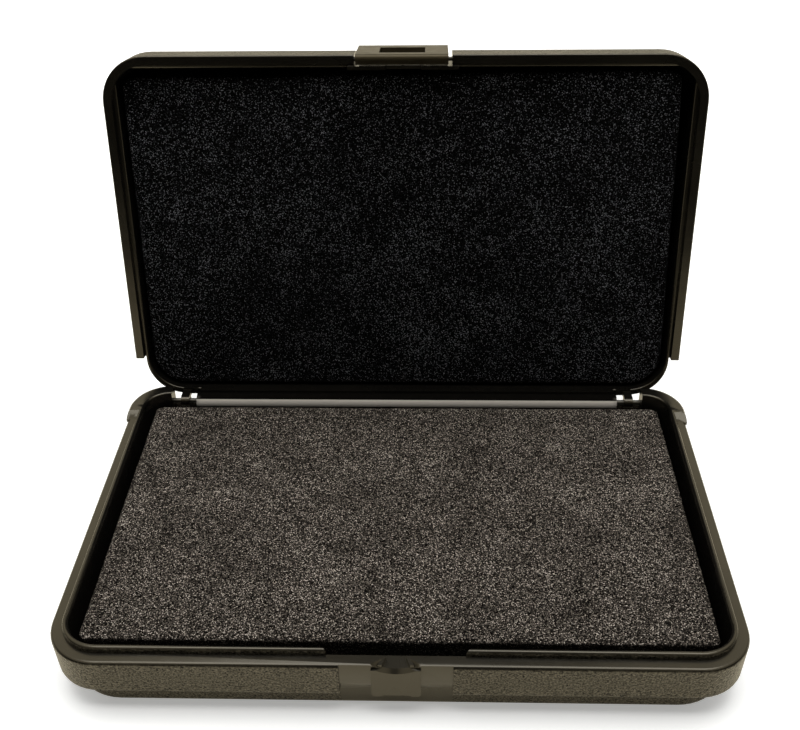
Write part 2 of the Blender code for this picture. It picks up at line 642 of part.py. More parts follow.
def make_latch(material, pivot):
    """Build the latch: plate with a window, hooked lower bar and a barrel on its pin."""
    half = LATCH_WIDTH / 2
    latch = prism_x("latch", latch_profile(), -half, half)
    inner_y = FRONT_Y - LATCH_PROUD + LATCH_THICKNESS
    window_half = WINDOW_WIDTH / 2
    barrel = rod("latch_barrel", LATCH_Y, LATCH_Z, LATCH_BARREL_RADIUS, -half, half, LUG_SEGMENTS)
    combine(latch, barrel, "UNION")
    root_y = inner_y - LATCH_EDGE_RADIUS
    low_z = LATCH_Z - LATCH_BARREL_RADIUS
    web = [(root_y, low_z), (LATCH_Y, low_z), (LATCH_Y, LATCH_Z + LATCH_PIN_DIAMETER),
           (root_y, LATCH_TOP_Z - LATCH_EDGE_RADIUS)]
    combine(latch, prism_x("latch_web", web, -half, half), "UNION")
    combine(latch, box("latch_window", (-window_half, FRONT_Y - LATCH_PROUD - OVERRUN, WINDOW_BOTTOM_Z),
                       (window_half, inner_y + OVERRUN / 2, WINDOW_TOP_Z)), "DIFFERENCE")
    combine(latch, rod("latch_bore", LATCH_Y, LATCH_Z, LATCH_HOLE_RADIUS, -half - OVERRUN, half + OVERRUN),
            "DIFFERENCE")
    hang(latch, pivot, LATCH_PIVOT)
    return finish(latch, material)


def make_hinge_pins(material):
    """Build the two short pins across the notches."""
    pins = []
    for side, (x_from, x_to) in zip(("left", "right"), notch_sides()):
        pin = rod("hinge_pin_" + side, HINGE_Y, HINGE_Z, HINGE_PIN_DIAMETER / 2, x_from - PIN_SEAT_DEPTH,
                  x_to + PIN_SEAT_DEPTH)
        pins.append(finish(pin, material))
    return pins


def make_latch_pin(material, pivot):
    """Build the pin that the latch turns on, seated in both ends of the lid's pocket."""
    reach = POCKET_WIDTH / 2 + LATCH_PIN_SEAT
    pin = rod("latch_pin", LATCH_Y, LATCH_Z, LATCH_PIN_DIAMETER / 2, -reach, reach)
    hang(pin, pivot, HINGE)
    return finish(pin, material)


def foam_block(name, half_x, front_y, rear_y, levels):
    """Return a foam pad from its levels of (inset, z, rear corner, front corner), hidden face first."""
    rings = []
    for inset, z, rear_corner, front_corner in levels:
        points = outline(half_x - inset, front_y + inset, rear_y - inset, rear_corner, front_corner)
        rings.append([(x, y, z) for x, y in points])
    return loft(name, rings)


def make_base_foam(material):
    """Build the pad that fills the tray."""
    half_x = HALF_WIDTH - LIP_INNER_INSET - BASE_FOAM_SIDE_GAP
    front_y = FRONT_Y + LIP_INNER_INSET + LEDGE_FRONT_EXTRA + BASE_FOAM_FRONT_GAP
    rear_y = HINGE_Y - BARREL_RADIUS - BASE_FOAM_REAR_GAP
    low_z = BASE_FLOOR + SEAT_GAP
    face_z = PARTING_Z - BASE_FOAM_RECESS
    levels = [
        (FOAM_FOOT_CHAMFER, low_z, BASE_FOAM_BACK_CORNER, BASE_FOAM_BACK_CORNER),
        (0.0, low_z + FOAM_FOOT_CHAMFER, BASE_FOAM_BACK_CORNER, BASE_FOAM_BACK_CORNER),
        (0.0, face_z - FOAM_EDGE_RADIUS, BASE_FOAM_CORNER, BASE_FOAM_CORNER),
        (FOAM_EDGE_RADIUS, face_z, BASE_FOAM_CORNER, BASE_FOAM_CORNER),
    ]
    return finish(foam_block("base_foam", half_x, front_y, rear_y, levels), material)


def make_lid_foam(material, pivot):
    """Build the pad that fills the lid: square at its open front corners, round where the lid is."""
    half_x = HALF_WIDTH - LID_RIM_INSET - LID_FOAM_SIDE_GAP
    front_y = FRONT_Y + LID_RIM_INSET + LID_FOAM_FRONT_GAP
    rear_y = REAR_Y - LID_RIM_INSET - LID_REAR_EXTRA - LID_FOAM_REAR_GAP
    high_z = LID_TOP_Z - LID_CEILING - SEAT_GAP
    face_z = LID_RIM_Z + LID_FOAM_RECESS
    levels = [
        (FOAM_FOOT_CHAMFER, high_z, LID_FOAM_BACK_CORNER, LID_FOAM_BACK_CORNER),
        (0.0, high_z - FOAM_FOOT_CHAMFER, LID_FOAM_BACK_CORNER, LID_FOAM_BACK_CORNER),
        (0.0, LID_SHOULDER_Z, LID_FOAM_BACK_CORNER, LID_FOAM_BACK_CORNER),
        (0.0, face_z + FOAM_EDGE_RADIUS, LID_FOAM_BACK_CORNER, LID_FOAM_CORNER),
        (FOAM_EDGE_RADIUS, face_z, LID_FOAM_BACK_CORNER, LID_FOAM_CORNER),
    ]
    pad = foam_block("lid_foam", half_x, front_y, rear_y, levels)
    hang(pad, pivot, HINGE)
    return finish(pad, material)


def main():
    """Build the whole case, open."""
    clear_scene()
    shell_black = make_material("moulded_black_shell", (0.018, 0.017, 0.015), 0.45)
    latch_black = make_material("moulded_black_latch", (0.020, 0.019, 0.017), 0.35)
    pin_black = make_material("black_pin", (0.012, 0.012, 0.012), 0.30)
    base_grey = make_material("charcoal_foam_base", (0.075, 0.070, 0.065), 0.95)
    lid_grey = make_material("charcoal_foam_lid", (0.035, 0.034, 0.036), 0.95)
    lid_pivot = make_pivot("lid_hinge_axis", HINGE, angle=-LID_OPEN_ANGLE)
    latch_pivot = make_pivot("latch_axis", LATCH_PIVOT - HINGE, lid_pivot, -LATCH_REST_ANGLE)
    make_base_shell(shell_black)
    make_base_foam(base_grey)
    make_hinge_pins(pin_black)
    make_lid_shell(shell_black, lid_pivot)
    make_lid_foam(lid_grey, lid_pivot)
    make_latch_pin(pin_black, lid_pivot)
    make_latch(latch_black, latch_pivot)


main()
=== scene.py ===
"""Open blow-moulded carrying case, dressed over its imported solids.

Metres, +Z up, front at -Y. The shells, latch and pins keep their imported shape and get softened
edges and moulded or drawn finishes. The two foam pads are built here in detail and stand for
their plain solids.
"""

import json
import logging
import math
from dataclasses import dataclass
from enum import Enum

import bmesh
import bpy
from mathutils import Matrix, Vector


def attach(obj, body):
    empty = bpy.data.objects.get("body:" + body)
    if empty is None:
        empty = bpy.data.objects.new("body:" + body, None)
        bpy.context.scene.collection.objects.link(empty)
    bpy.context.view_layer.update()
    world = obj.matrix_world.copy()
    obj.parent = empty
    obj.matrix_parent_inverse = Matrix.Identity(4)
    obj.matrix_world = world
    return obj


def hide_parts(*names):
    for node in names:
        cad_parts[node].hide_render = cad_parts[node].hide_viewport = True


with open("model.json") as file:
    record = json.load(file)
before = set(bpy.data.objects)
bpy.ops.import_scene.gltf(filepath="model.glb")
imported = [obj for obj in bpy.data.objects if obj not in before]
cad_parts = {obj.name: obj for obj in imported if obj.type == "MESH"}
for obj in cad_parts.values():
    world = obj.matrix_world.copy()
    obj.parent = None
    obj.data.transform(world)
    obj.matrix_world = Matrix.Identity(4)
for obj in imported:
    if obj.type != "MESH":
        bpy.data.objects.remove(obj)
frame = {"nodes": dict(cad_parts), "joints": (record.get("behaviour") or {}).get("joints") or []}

LOG = logging.getLogger("case")
MILLIMETRE = 0.001

Colour = tuple[float, float, float, float]
Place = tuple[float, float, float]
Socket = bpy.types.NodeSocket
Tree = bpy.types.NodeTree

# Sockets of a Mix node that blends colours: its share, its two colours and its result.
SHARE, FIRST, SECOND, BLEND = 0, 6, 7, 2

# The middle of what a noise texture gives.
NOISE_MIDDLE = 0.5


class Body(Enum):
    """The rigid groups that the foam pads ride on."""

    BASE = "base"
    LID = "lid"


def linear(code: int) -> Colour:
    """Turn an sRGB hex colour into linear light.

    Args:
        code: colour as 0xRRGGBB.

    Returns:
        Linear red, green and blue, and an alpha of one.
    """
    channels = [(code >> shift & 255) / 255 for shift in (16, 8, 0)]
    red, green, blue = (
        c / 12.92 if c <= 0.04045 else ((c + 0.055) / 1.055) ** 2.4 for c in channels
    )
    return red, green, blue, 1.0


def repeat_every(size_mm: float) -> float:
    """Return the scale of a texture whose pattern repeats in so many millimetres."""
    return 1 / (size_mm * MILLIMETRE)


def add_node(
    tree: Tree, kind: str, inputs: dict[str | int, object] | None = None, **settings: object
) -> bpy.types.Node:
    """Add one node with its settings, values and links.

    Args:
        tree: node tree that takes the node.
        kind: the node's type name.
        inputs: socket name or number to a value, or to the output socket that feeds it.
        settings: the node's own properties.

    Returns:
        The new node.
    """
    node = tree.nodes.new(kind)
    for name, value in settings.items():
        setattr(node, name, value)
    for socket, value in (inputs or {}).items():
        if isinstance(value, Socket):
            tree.links.new(value, node.inputs[socket])
        else:
            node.inputs[socket].default_value = value
    return node


def start_material(name: str) -> tuple[bpy.types.Material, Tree, bpy.types.Node]:
    """Start a node material.

    Args:
        name: the material's name.

    Returns:
        The material, its tree and its Principled shader.
    """
    material = bpy.data.materials.new(name)
    material.use_nodes = True
    tree = material.node_tree
    return material, tree, tree.nodes["Principled BSDF"]


@dataclass(frozen=True)
class Fade:
    """How a measure turns into a strength: straight from its start to its end, flat beyond."""

    start: float
    end: float
    at_start: float = 0.0
    at_end: float = 1.0

    def of(self, measure: Socket) -> dict[str, object]:
        """Return the inputs of the Map Range node that reads the measure."""
        return {
            "Value": measure,
            "From Min": self.start,
            "From Max": self.end,
            "To Min": self.at_start,
            "To Max": self.at_end,
        }


@dataclass(frozen=True)
class Zone:
    """A box in the shut case's frame that marks part of a surface."""

    middle: Place
    half: Place


# A zone well above the case, for a shell that has no such mark.
NOWHERE = Zone(middle=(0.0, 0.0, 1.0), half=(0.01, 0.01, 0.01))


@dataclass(frozen=True)
class MouldedShell:
    """High-density polyethylene, blow moulded, black.

    The mould's outer faces are stippled, which gives the walls a pebbly sheen. Rims, ledges and
    insides are smooth and glossier. The walls shrink unevenly as they cool, so broad patches
    differ in gloss. Handling leaves a brown bloom in scattered patches. The stipple's crests are
    painted lighter brown, a painted highlight. A pale strip on the hinge barrel is a painted
    highlight, and the barrel's crown is left without a reflection. The real stipple is about
    0.4 mm, and is drawn twice as coarse so that it shows.
    """

    name: str
    to_shut: Matrix
    parting_z: float
    opens_up: float
    pocket_half: float
    pocket_rear: float
    # Where a pale strip of painted highlight lies.
    rubbed_zone: Zone = NOWHERE
    dull_zone: Zone = NOWHERE
    colour: int = 0x0C0B09
    # Brown of the bloom, and of the painted highlight on the stipple's crests.
    dust_and_glint: int = 0x36322A
    # The pale colour of the painted highlight strip.
    rubbed: int = 0xBDB6AB
    gleam: int = 0xF4ECD8
    stipple_mm: float = 0.75
    pebble_mm: float = 0.9375
    patch_mm: float = 34.0
    scuff_mm: float = 5.0
    # Metres from the shut case's middle out to a face's plane: only outer faces lie that far.
    outer_reach: Fade = Fade(0.006, 0.010)
    # How far a face turns towards the rim: rims and ledges have no stipple.
    rim_turn: Fade = Fade(0.3, 0.6, 1.0, 0.0)
    # The edge of a zone, as a share of its half.
    zone_edge: Fade = Fade(0.95, 1.02, 1.0, 0.0)
    bloom: Fade = Fade(0.5, 0.78, 0.0, 0.06)
    # How much lighter the stipple's crests are painted: a painted highlight.
    crest_glint: Fade = Fade(0.5, 0.64, 0.0, 0.8)
    smooth_roughness: Fade = Fade(0.3, 0.7, 0.22, 0.3)
    stipple_roughness: float = 0.12
    sparkle: float = 2.6
    mean_mirror: float = 0.5

    def to_shut_place(self, tree: Tree, vector: Socket, kind: str) -> Socket:
        """Turn a point or a direction of the piece into the shut case's frame.

        Args:
            tree: the material's tree.
            vector: the point or direction on the piece.
            kind: POINT for a point, VECTOR for a direction.

        Returns:
            The same point or direction on the shut case.
        """
        inputs = {"Vector": vector, "Rotation": self.to_shut.to_euler()}
        if kind == "POINT":
            inputs["Location"] = self.to_shut.to_translation()
        return add_node(tree, "ShaderNodeMapping", inputs, vector_type=kind).outputs["Vector"]

    def stipple_mask(self, tree: Tree, point: Socket, facing: Socket) -> Socket:
        """Tell the mould's stippled outer faces from the smooth rims, insides and latch pocket.

        Args:
            tree: the material's tree.
            point: the point on the shut case.
            facing: the face's direction on the shut case.

        Returns:
            One on stippled faces and nought on smooth ones.
        """
        arm = add_node(
            tree,
            "ShaderNodeVectorMath",
            {0: point, 1: (0.0, 0.0, self.parting_z)},
            operation="SUBTRACT",
        ).outputs[0]
        outward = add_node(
            tree, "ShaderNodeVectorMath", {0: arm, 1: facing}, operation="DOT_PRODUCT"
        ).outputs["Value"]
        outer = add_node(tree, "ShaderNodeMapRange", self.outer_reach.of(outward)).outputs[0]
        tilt = add_node(tree, "ShaderNodeSeparateXYZ", {0: facing}).outputs["Z"]
        towards_rim = add_node(
            tree, "ShaderNodeMath", {0: tilt, 1: self.opens_up}, operation="MULTIPLY"
        ).outputs[0]
        below_rim = add_node(tree, "ShaderNodeMapRange", self.rim_turn.of(towards_rim)).outputs[0]
        axes = add_node(tree, "ShaderNodeSeparateXYZ", {0: point})
        side = add_node(
            tree, "ShaderNodeMath", {0: axes.outputs["X"]}, operation="ABSOLUTE"
        ).outputs[0]
        beside = add_node(
            tree, "ShaderNodeMath", {0: side, 1: self.pocket_half}, operation="GREATER_THAN"
        ).outputs[0]
        behind = add_node(
            tree,
            "ShaderNodeMath",
            {0: axes.outputs["Y"], 1: self.pocket_rear},
            operation="GREATER_THAN",
        ).outputs[0]
        clear = add_node(
            tree, "ShaderNodeMath", {0: beside, 1: behind}, operation="MAXIMUM"
        ).outputs[0]
        wall = add_node(
            tree, "ShaderNodeMath", {0: outer, 1: below_rim}, operation="MULTIPLY"
        ).outputs[0]
        return add_node(
            tree, "ShaderNodeMath", {0: wall, 1: clear}, operation="MULTIPLY"
        ).outputs[0]

    def zone_mask(self, tree: Tree, point: Socket, zone: Zone) -> Socket:
        """Mark the part of the piece that lies in a zone.

        Args:
            tree: the material's tree.
            point: the point on the shut case.
            zone: the box that marks it.

        Returns:
            One inside the zone and nought outside it.
        """
        off = add_node(
            tree, "ShaderNodeVectorMath", {0: point, 1: zone.middle}, operation="SUBTRACT"
        ).outputs[0]
        size = add_node(tree, "ShaderNodeVectorMath", {0: off}, operation="ABSOLUTE").outputs[0]
        share = add_node(
            tree, "ShaderNodeVectorMath", {0: size, 1: zone.half}, operation="DIVIDE"
        ).outputs[0]
        axes = add_node(tree, "ShaderNodeSeparateXYZ", {0: share})
        wide = add_node(
            tree,
            "ShaderNodeMath",
            {0: axes.outputs["X"], 1: axes.outputs["Y"]},
            operation="MAXIMUM",
        ).outputs[0]
        most = add_node(
            tree, "ShaderNodeMath", {0: wide, 1: axes.outputs["Z"]}, operation="MAXIMUM"
        ).outputs[0]
        return add_node(tree, "ShaderNodeMapRange", self.zone_edge.of(most)).outputs[0]

    def tone(self, tree: Tree, point: Socket, mask: Socket, grit: Socket, scuffs: Socket) -> Socket:
        """Mix the black plastic with its bloom and its painted highlights on crests and barrel.

        Args:
            tree: the material's tree.
            point: the point on the shut case.
            mask: one on stippled faces.
            grit: the stipple's fine noise.
            scuffs: the noise of handling.

        Returns:
            The surface's colour.
        """
        bloom = add_node(tree, "ShaderNodeMapRange", self.bloom.of(scuffs)).outputs[0]
        # The stipple's crests are painted lighter brown: a painted highlight.
        crests = add_node(
            tree, "ShaderNodeMath", {0: grit, 1: mask}, operation="MULTIPLY"
        ).outputs[0]
        crest_glint_share = add_node(tree, "ShaderNodeMapRange", self.crest_glint.of(crests)).outputs[0]
        bloom_and_glint = add_node(
            tree, "ShaderNodeMath", {0: bloom, 1: crest_glint_share}, operation="ADD", use_clamp=True
        ).outputs[0]
        black = add_node(
            tree,
            "ShaderNodeMix",
            {SHARE: bloom_and_glint, FIRST: linear(self.colour), SECOND: linear(self.dust_and_glint)},
            data_type="RGBA",
        ).outputs[BLEND]
        # The pale strip on the hinge barrel is a painted highlight.
        painted_highlight_share = self.zone_mask(tree, point, self.rubbed_zone)
        return add_node(
            tree,
            "ShaderNodeMix",
            {SHARE: painted_highlight_share, FIRST: black, SECOND: linear(self.rubbed)},
            data_type="RGBA",
        ).outputs[BLEND]

    def relief(
        self, tree: Tree, mask: Socket, patches: Socket, grit: Socket, pebble: Socket
    ) -> Socket:
        """Raise the stipple over the slow waves that the walls shrink into.

        Args:
            tree: the material's tree.
            mask: one on stippled faces.
            patches: the noise of the uneven shrinking.
            grit: the stipple's fine noise.
            pebble: the stipple's pebbles.

        Returns:
            The surface's direction.
        """
        grain = add_node(
            tree, "ShaderNodeMath", {0: pebble, 1: grit}, operation="MULTIPLY"
        ).outputs[0]
        height = add_node(
            tree, "ShaderNodeMath", {0: grain, 1: mask}, operation="MULTIPLY"
        ).outputs[0]
        wave = add_node(
            tree, "ShaderNodeBump", {"Strength": 0.25, "Distance": 0.0012, "Height": patches}
        ).outputs[0]
        return add_node(
            tree,
            "ShaderNodeBump",
            {"Strength": 0.8, "Distance": 0.0006, "Height": height, "Normal": wave},
        ).outputs[0]

    def mirror(self, tree: Tree, point: Socket, mask: Socket, grit: Socket) -> Socket:
        """Let the stipple's crests sparkle, and dull the crown of the hinge barrel.

        Args:
            tree: the material's tree.
            point: the point on the shut case.
            mask: one on stippled faces.
            grit: the stipple's fine noise.

        Returns:
            The strength of the surface's reflection.
        """
        crest = add_node(
            tree, "ShaderNodeMath", {0: grit, 1: NOISE_MIDDLE}, operation="SUBTRACT"
        ).outputs[0]
        raised = add_node(
            tree, "ShaderNodeMath", {0: crest, 1: mask}, operation="MULTIPLY"
        ).outputs[0]
        sheen = add_node(
            tree,
            "ShaderNodeMath",
            {0: raised, 1: self.sparkle, 2: self.mean_mirror},
            operation="MULTIPLY_ADD",
            use_clamp=True,
        ).outputs[0]
        dull = self.zone_mask(tree, point, self.dull_zone)
        left_bright = add_node(
            tree, "ShaderNodeMath", {0: 1.0, 1: dull}, operation="SUBTRACT"
        ).outputs[0]
        return add_node(
            tree, "ShaderNodeMath", {0: sheen, 1: left_bright}, operation="MULTIPLY"
        ).outputs[0]

    def build(self) -> bpy.types.Material:
        """Build the material.

        Returns:
            The material.
        """
        material, tree, shader = start_material(self.name)
        coordinates = add_node(tree, "ShaderNodeTexCoord")
        place = coordinates.outputs["Object"]
        point = self.to_shut_place(tree, place, "POINT")
        facing = self.to_shut_place(tree, coordinates.outputs["Normal"], "VECTOR")
        mask = self.stipple_mask(tree, point, facing)
        grit, patches, scuffs = (
            add_node(
                tree,
                "ShaderNodeTexNoise",
                {
                    "Vector": place,
                    "Scale": repeat_every(size_mm),
                    "Detail": detail,
                    "Roughness": roughness,
                },
            ).outputs[0]
            for size_mm, detail, roughness in (
                (self.stipple_mm, 2.0, 0.6),
                (self.patch_mm, 3.0, 0.5),
                (self.scuff_mm, 6.0, 0.7),
            )
        )
        pebble = add_node(
            tree,
            "ShaderNodeTexVoronoi",
            {"Vector": place, "Scale": repeat_every(self.pebble_mm), "Randomness": 1.0},
            feature="SMOOTH_F1",
        ).outputs["Distance"]
        gloss = add_node(tree, "ShaderNodeMapRange", self.smooth_roughness.of(patches)).outputs[0]
        rough = add_node(
            tree,
            "ShaderNodeMath",
            {0: mask, 1: self.stipple_roughness, 2: gloss},
            operation="MULTIPLY_ADD",
        ).outputs[0]
        mirror = self.mirror(tree, point, mask, grit)
        tree.links.new(mirror, shader.inputs["Specular IOR Level"])
        tone = self.tone(tree, point, mask, grit, scuffs)
        tree.links.new(tone, shader.inputs["Base Color"])
        tree.links.new(rough, shader.inputs["Roughness"])
        relief = self.relief(tree, mask, patches, grit, pebble)
        tree.links.new(relief, shader.inputs["Normal"])
        shader.inputs["IOR"].default_value = 1.54
        shader.inputs["Specular Tint"].default_value = linear(self.gleam)
        return material


@dataclass(frozen=True)
class MouldedLatch:
    """Polypropylene, injection moulded, black.

    It is smoother and glossier than the shells, and has faint ripples where the melt flowed.
    """

    name: str = "polypropylene_moulded_black"
    colour: int = 0x241F14
    gleam: int = 0xFFEFC8
    ripple_mm: float = 6.0
    roughness: Fade = Fade(0.3, 0.7, 0.34, 0.46)

    def build(self) -> bpy.types.Material:
        """Build the material.

        Returns:
            The material.
        """
        material, tree, shader = start_material(self.name)
        place = add_node(tree, "ShaderNodeTexCoord").outputs["Object"]
        ripple = add_node(
            tree,
            "ShaderNodeTexNoise",
            {
                "Vector": place,
                "Scale": repeat_every(self.ripple_mm),
                "Detail": 4.0,
                "Roughness": 0.6,
            },
        ).outputs[0]
        rough = add_node(tree, "ShaderNodeMapRange", self.roughness.of(ripple)).outputs[0]
        bump = add_node(
            tree, "ShaderNodeBump", {"Strength": 0.2, "Distance": 0.0002, "Height": ripple}
        ).outputs[0]
        shader.inputs["Base Color"].default_value = linear(self.colour)
        shader.inputs["IOR"].default_value = 1.42
        shader.inputs["Specular Tint"].default_value = linear(self.gleam)
        tree.links.new(rough, shader.inputs["Roughness"])
        tree.links.new(bump, shader.inputs["Normal"])
        return material


@dataclass(frozen=True)
class DrawnPin:
    """Drawn steel rod, blackened: dark, with fine drawing lines along its length."""

    name: str = "steel_drawn_blackened"
    colour: int = 0x4A4843
    line_mm: float = 0.25
    # The lines run along X, so the pattern is stretched that way.
    stretch: Place = (0.02, 1.0, 1.0)
    roughness: Fade = Fade(0.3, 0.7, 0.28, 0.5)

    def build(self) -> bpy.types.Material:
        """Build the material.

        Returns:
            The material.
        """
        material, tree, shader = start_material(self.name)
        place = add_node(tree, "ShaderNodeTexCoord").outputs["Object"]
        drawn = add_node(
            tree,
            "ShaderNodeMapping",
            {"Vector": place, "Scale": self.stretch},
            vector_type="POINT",
        ).outputs["Vector"]
        lines = add_node(
            tree,
            "ShaderNodeTexNoise",
            {"Vector": drawn, "Scale": repeat_every(self.line_mm), "Detail": 2.0},
        ).outputs[0]
        rough = add_node(tree, "ShaderNodeMapRange", self.roughness.of(lines)).outputs[0]
        shader.inputs["Base Color"].default_value = linear(self.colour)
        shader.inputs["Metallic"].default_value = 0.9
        tree.links.new(rough, shader.inputs["Roughness"])
        return material


@dataclass(frozen=True)
class OpenCellFoam:
    """Polyether polyurethane foam, open celled, dyed charcoal and split from a block.

    The cut face is a net of fine struts round dark pores about 0.4 mm wide. Each pore was cut at
    its own depth, so each has its own tone, and the odd strut end catches the light. The sides,
    cut by the die, are painted darker: painted shade, for the little light that reaches them.
    """

    name: str
    pore: int
    strut: int
    tip: int
    spark: int
    face: Place
    # How much of the foam's tone the sides keep under their painted shade.
    side_painted_shade: float
    cell_mm: float = 0.38
    patch_mm: float = 22.0
    # How much a cell's tone changes from its middle out to its edge.
    edge_drop: float = -0.35
    cloud: Fade = Fade(0.3, 0.7, -0.05, 0.05)
    # How near to its face's direction the foam has to look to show its struts free of the painted
    # shade of its sides: from, to.
    face_turn: tuple[float, float] = (0.35, 0.85)
    # Where pore, strut, tip and spark stand on the ramp of tones.
    tone_places: tuple[float, ...] = (0.0, 0.4, 0.72, 0.86)

    def set_tones(self, node: bpy.types.Node) -> None:
        """Give the colour ramp its four tones, from pore to spark.

        Args:
            node: the colour ramp node.
        """
        tones = [linear(code) for code in (self.pore, self.strut, self.tip, self.spark)]
        ramp = node.color_ramp
        while len(ramp.elements) > 1:
            ramp.elements.remove(ramp.elements[-1])
        ramp.elements[0].position, ramp.elements[0].color = self.tone_places[0], tones[0]
        for place, tone in zip(self.tone_places[1:], tones[1:]):
            ramp.elements.new(place).color = tone

    def build(self) -> bpy.types.Material:
        """Build the material.

        Returns:
            The material.
        """
        material, tree, shader = start_material(self.name)
        coordinates = add_node(tree, "ShaderNodeTexCoord")
        place = coordinates.outputs["Object"]
        cells = add_node(
            tree,
            "ShaderNodeTexVoronoi",
            {"Vector": place, "Scale": repeat_every(self.cell_mm), "Randomness": 1.0},
            feature="F1",
        )
        depth = add_node(tree, "ShaderNodeSeparateColor", {0: cells.outputs["Color"]}).outputs[0]
        patches = add_node(
            tree,
            "ShaderNodeTexNoise",
            {
                "Vector": place,
                "Scale": repeat_every(self.patch_mm),
                "Detail": 3.0,
                "Roughness": 0.55,
            },
        ).outputs[0]
        broad = add_node(tree, "ShaderNodeMapRange", self.cloud.of(patches)).outputs[0]
        net = add_node(
            tree,
            "ShaderNodeMath",
            {0: cells.outputs["Distance"], 1: self.edge_drop, 2: depth},
            operation="MULTIPLY_ADD",
        ).outputs[0]
        shade = add_node(tree, "ShaderNodeMath", {0: net, 1: broad}, operation="ADD").outputs[0]
        tone = add_node(tree, "ShaderNodeValToRGB", {0: shade})
        self.set_tones(tone)
        bump = add_node(
            tree, "ShaderNodeBump", {"Strength": 0.6, "Distance": 0.0002, "Height": net}
        ).outputs[0]
        facing = add_node(
            tree,
            "ShaderNodeVectorMath",
            {0: coordinates.outputs["Normal"], 1: self.face},
            operation="DOT_PRODUCT",
        ).outputs["Value"]
        # The sides are painted darker, towards the pores' black: painted shade.
        shade_of_sides = Fade(*self.face_turn, at_start=self.side_painted_shade)
        unshaded_share = add_node(tree, "ShaderNodeMapRange", shade_of_sides.of(facing)).outputs[0]
        shaded = add_node(
            tree,
            "ShaderNodeMix",
            {SHARE: unshaded_share, FIRST: linear(self.pore), SECOND: tone.outputs[0]},
            data_type="RGBA",
        ).outputs[BLEND]
        tree.links.new(shaded, shader.inputs["Base Color"])
        tree.links.new(bump, shader.inputs["Normal"])
        shader.inputs["Roughness"].default_value = 0.85
        shader.inputs["Specular IOR Level"].default_value = 0.03
        return material


def only(piece: bpy.types.Object) -> None:
    """Deselect everything and make one object the active selection.

    Args:
        piece: the object that the next operators act on.
    """
    bpy.ops.object.select_all(action="DESELECT")
    piece.select_set(True)
    bpy.context.view_layer.objects.active = piece


@dataclass(frozen=True)
class SoftEdges:
    """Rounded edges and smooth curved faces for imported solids, made by live modifiers."""

    width: float = 0.0003
    segments: int = 2
    round_from_degrees: float = 40.0
    sharp_from_degrees: float = 35.0
    merge_within: float = 1e-6

    def shading(self) -> Tree:
        """Make the geometry nodes that shade a solid smoothly over its gentle edges.

        Returns:
            The node group, for a modifier.
        """
        tree = bpy.data.node_groups.new("corner_shading", "GeometryNodeTree")
        for way in ("INPUT", "OUTPUT"):
            tree.interface.new_socket("Geometry", in_out=way, socket_type="NodeSocketGeometry")
        solid = add_node(tree, "NodeGroupInput").outputs[0]
        plain = add_node(
            tree, "GeometryNodeRemoveAttribute", {0: solid, "Name": "custom_normal"}
        ).outputs[0]
        faces = add_node(
            tree, "GeometryNodeSetShadeSmooth", {0: plain}, domain="FACE"
        ).outputs[0]
        turn = add_node(tree, "GeometryNodeInputMeshEdgeAngle").outputs["Unsigned Angle"]
        gentle = add_node(
            tree,
            "FunctionNodeCompare",
            {0: turn, 1: math.radians(self.sharp_from_degrees)},
            data_type="FLOAT",
            operation="LESS_THAN",
        ).outputs[0]
        edges = add_node(
            tree,
            "GeometryNodeSetShadeSmooth",
            {0: faces, "Shade Smooth": gentle},
            domain="EDGE",
        ).outputs[0]
        add_node(tree, "NodeGroupOutput", {0: edges})
        return tree

    def add_to(self, piece: bpy.types.Object, shading: Tree) -> None:
        """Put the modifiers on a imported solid.

        Args:
            piece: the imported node.
            shading: the node group that shades it smoothly.
        """
        weld = piece.modifiers.new("weld", "WELD")
        weld.merge_threshold = self.merge_within
        edges = piece.modifiers.new("soft_edges", "BEVEL")
        edges.width = self.width
        edges.segments = self.segments
        edges.limit_method = "ANGLE"
        edges.angle_limit = math.radians(self.round_from_degrees)
        edges.use_clamp_overlap = True
        smooth = piece.modifiers.new("smooth_corners", "NODES")
        smooth.node_group = shading
        flats = piece.modifiers.new("even_flats", "WEIGHTED_NORMAL")
        flats.mode = "FACE_AREA_WITH_ANGLE"
        flats.keep_sharp = True


@dataclass
class Hinge:
    """The lid's joint: it turns pieces between their place at rest and their shut place."""

    centre: Vector
    axis: Vector
    shut_angle: float

    @classmethod
    def named(cls, name: str) -> "Hinge":
        """Read a joint from the frame.

        Args:
            name: the joint's name.

        Returns:
            The hinge, whose shut angle is the limit that is further from rest.
        """
        joint = next(entry for entry in frame["joints"] if entry["name"] == name)
        low, high = joint["range_deg"]
        angle = low if abs(low) > abs(high) else high
        return cls(Vector(joint["pos_m"]), Vector(joint["axis"]), math.radians(angle))

    def to_shut(self) -> Matrix:
        """Return the transform from the place at rest to the shut place."""
        turn = Matrix.Rotation(self.shut_angle, 4, self.axis)
        return Matrix.Translation(self.centre) @ turn @ Matrix.Translation(-self.centre)


